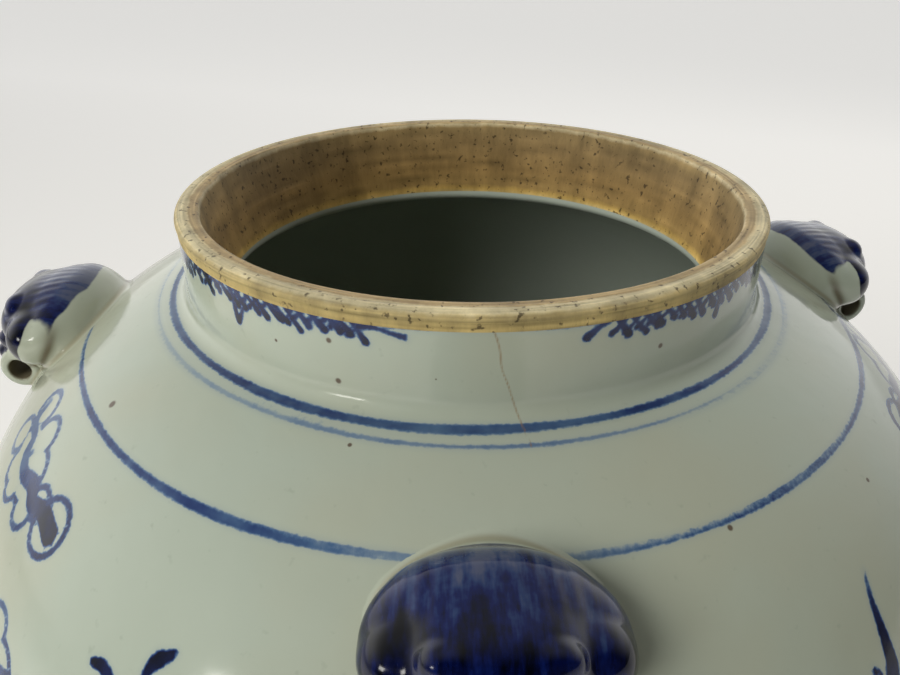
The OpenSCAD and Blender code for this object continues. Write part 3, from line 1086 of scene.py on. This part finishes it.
def make_shell(name, node, points, normals, quads, attributes):
    used, quads = np.unique(quads, return_inverse=True)
    quads = quads.reshape(-1, 4)
    count = len(used)
    outer = points[used]
    inner = outer - SKIN * normals[used]
    edges = np.concatenate([quads[:, [i, (i + 1) % 4]] for i in range(4)])
    seen = {tuple(e) for e in edges.tolist()}
    rim = np.array([e for e in edges.tolist() if (e[1], e[0]) not in seen])
    walls = np.stack([rim[:, 1], rim[:, 0], rim[:, 0] + count, rim[:, 1] + count], axis=1)
    faces = np.vstack([quads, quads[:, ::-1] + count, walls])
    piece = build(name, np.vstack([outer, inner]), faces, [lug_glaze])
    use(piece, node)
    both = np.vstack([normals[used], -normals[used]])
    loops = np.empty(len(piece.data.loops), np.int32)
    piece.data.loops.foreach_get("vertex_index", loops)
    custom = both[loops]
    custom[4 * 2 * len(quads):] = 0
    piece.data.normals_split_custom_set(custom.tolist())
    for key, values in attributes.items():
        attribute = piece.data.attributes.new(key, "FLOAT", "POINT")
        attribute.data.foreach_set("value", np.tile(values[used], 2).astype(np.float32))
    print(f"{name}: {len(faces)} faces")


# %% [markdown]
# The painter dabbed cobalt over the crown and left the sides to the clear glaze. The blue ends in a
# ragged edge along the temples, covers the front of each cheek, the eyes and the nostrils, and
# leaves the jaw white. Glaze pools in the creases, where iron turns it brown-gold.

# %% Paint on the lugs
def ramp(value, low, high):
    t = np.clip((value - low) / (high - low), 0, 1)
    return t * t * (3 - 2 * t)


def lug_paint(points, crease, gap, bodies, bore, hem, rng):
    x, y, z = points.T
    head, ears, eyes, snout, loop = bodies
    phase = rng.uniform(0, 6)
    wave = 0.9 * np.sin(y / 2.1 + phase) + 0.5 * np.sin(y / 1.1 - x / 3 + 2 * phase)
    rise = gap - 0.12 * hem * wave - 0.03 * hem * np.maximum(y - 2, 0)
    crown = ramp(rise, hem, hem + 1.8) * ramp(y, -16.5, -14.0)
    cheek = ramp(ears, 0.8, 0.1)
    bare_cheek = cheek * ramp(hem, 2.0, 4.0) * ramp(gap - 0.55 * y - 0.4 * wave, 10.0, 8.4)
    nose = ramp(snout, 1.0, 0.2) * ramp(gap, 10.0, 11.5)
    blue = np.maximum(crown * (1 - bare_cheek), nose)
    crevice = np.maximum(ramp(crease, 0.05, 0.4) * ramp(gap, 9.0, 3.0), ramp(bore, -0.6, 0.0))
    seam = ramp(gap, 0.1, 0.5) * ramp(gap, 1.6, 0.8)
    return {"cobalt": blue, "crevice": crevice, "seam": seam, "across_mm": x, "up_mm": y}


# %% [markdown]
# The lug's glaze is the pot's glaze with a thicker coat of cobalt under it: mottled from violet-grey
# to blue-black, streaked by the comb, hazy where the coat is thin.

# %% Lug glaze
LUG_COBALT = [(0.0, "#454C66"), (0.25, "#22355F"), (0.45, "#08164C"), (0.65, "#020932"),
              (0.85, "#010418"), (1.0, "#010208")]


def lug_material():
    material, tree = new_material("glaze_over_dabbed_cobalt")
    where = add(tree, "ShaderNodeTexCoord").outputs["Object"]
    across, up = carried(tree, "across_mm"), carried(tree, "up_mm")
    own = add(tree, "ShaderNodeCombineXYZ", {}, {"X": across, "Y": up})
    comb = add(tree, "ShaderNodeMapping", {"Scale": (0.42, 0.1, 1.0)}, {"Vector": own.outputs[0]})
    streak = noise(tree, comb.outputs[0], 1.0, 3.0, 0.6)
    both = combined(tree, "ADD", streak, noise(tree, where, 120.0, 4.0, 0.6))
    loaded = combined(tree, "ADD", both, ranged(tree, up, (4.0, 16.0), (0.12, -0.2)))
    coat = colour_steps(tree, ranged(tree, loaded, (0.68, 1.32)), LUG_COBALT)
    rough_edge = ranged(tree, noise(tree, where, 260.0, 4.0), (0.0, 1.0), (-0.35, 0.35))
    frayed = combined(tree, "ADD", carried(tree, "cobalt"), rough_edge)
    cover = ranged(tree, frayed, (0.25, 0.75), smooth=True)
    painted = mixed(tree, cover, glaze_colour(tree, where), coat)
    pooled = combined(tree, "MULTIPLY", carried(tree, "crevice"), 0.8)
    creased = mixed(tree, pooled, painted, "#564428")
    stain = combined(tree, "MULTIPLY", carried(tree, "seam"), 0.5)
    dirty = mixed(tree, stain, creased, "#857B5C")
    finish(tree, glossy_glaze(tree, dirty, orange_peel(tree, where), where))
    return material


lug_glaze = lug_material()

# %% Press all four
for seed, name in enumerate(LUGS):
    make_lug(name, 11 + seed)

# %% [markdown]
# ## Light and floor
# A pale seamless floor, a broad soft light from the front left and a weak bounce from behind on the
# right. Both are kept out of the glaze's reflections, as a stage light behind cloth would be: only a
# small window pane, lower on the left, sparkles on the lugs. The room is bright behind the pot and
# dim in front of it, and the paper floor glows more with distance, as if lit from further back.

# %% Studio
def area_light(name, place, target, size, power, colour="#FFFFFF"):
    data = bpy.data.lights.new(name, "AREA")
    data.shape = "RECTANGLE"
    data.size, data.size_y = size
    data.energy = power
    data.color = linear(colour)[:3]
    light = bpy.data.objects.new(name, data)
    bpy.context.scene.collection.objects.link(light)
    light.location = place
    light.rotation_euler = (Vector(target) - Vector(place)).to_track_quat("-Z", "Y").to_euler()
    return light


soft_left = area_light("soft_left", (-1.04, -1.12, 1.25), (0, 0, 0.28), (1.1, 0.8), 20.5, "#FFFDF6")
soft_left.visible_glossy = False
bounce = area_light("bounce_right", (0.8, 0.95, 1.35), (0, 0, 0.33), (0.8, 0.8), 3.6, "#FFF8EC")
bounce.visible_glossy = False
area_light("window_pane", (-1.15, -1.25, 0.8), (0, 0, 0.28), (0.34, 0.24), 2.8, "#FFFDF6")

world = bpy.data.worlds.new("room")
bpy.context.scene.world = world
world.use_nodes = True
tree = world.node_tree
tree.nodes.clear()
direction = add(tree, "ShaderNodeTexCoord").outputs["Generated"]
toward = add(tree, "ShaderNodeVectorMath", {1: (-0.2, 0.88, 0.3)}, {0: direction}, operation="DOT_PRODUCT")
fade = ranged(tree, toward.outputs["Value"], (-0.38, 0.55), smooth=True)
room = mixed(tree, fade, "#2E2B25", "#FFFFFD")
overhead = add(tree, "ShaderNodeSeparateXYZ", {}, {"Vector": direction})
ceiling = ranged(tree, overhead.outputs["Z"], (0.25, 0.85), (1.3, 0.36), smooth=True)
shine = add(tree, "ShaderNodeBackground", {}, {"Color": room, "Strength": ceiling})
output = add(tree, "ShaderNodeOutputWorld")
tree.links.new(shine.outputs[0], output.inputs["Surface"])

FLOOR_REACH = 8.0
SIDE = 9
grid = np.linspace(-FLOOR_REACH, FLOOR_REACH, SIDE)
points = np.array([(x, y, 0) for y in grid for x in grid]) / MM
starts = [j * SIDE + i for j in range(SIDE - 1) for i in range(SIDE - 1)]
faces = [(k, k + 1, k + SIDE + 1, k + SIDE) for k in starts]
paper, tree = new_material("seamless_paper")
far = add(tree, "ShaderNodeSeparateXYZ", {}, {"Vector": add(tree, "ShaderNodeTexCoord").outputs["Object"]})
near = ranged(tree, far.outputs["Y"], (-0.5, 0.2), (0.0, 0.17))
aside = combined(tree, "ADD", combined(tree, "MULTIPLY", far.outputs["X"], 0.35), far.outputs["Y"])
beyond = ranged(tree, aside, (0.2, 1.6), (0.0, 0.2))
lift = combined(tree, "ADD", near, beyond)
paper_look = {"Base Color": linear("#F1F0EE"), "Roughness": 0.9, "Emission Color": linear("#F8F7F5")}
finish(tree, add(tree, "ShaderNodeBsdfPrincipled", paper_look, {"Emission Strength": lift}))
floor = build("floor", points, faces, [paper])
bpy.context.scene.view_settings.view_transform = "Standard"
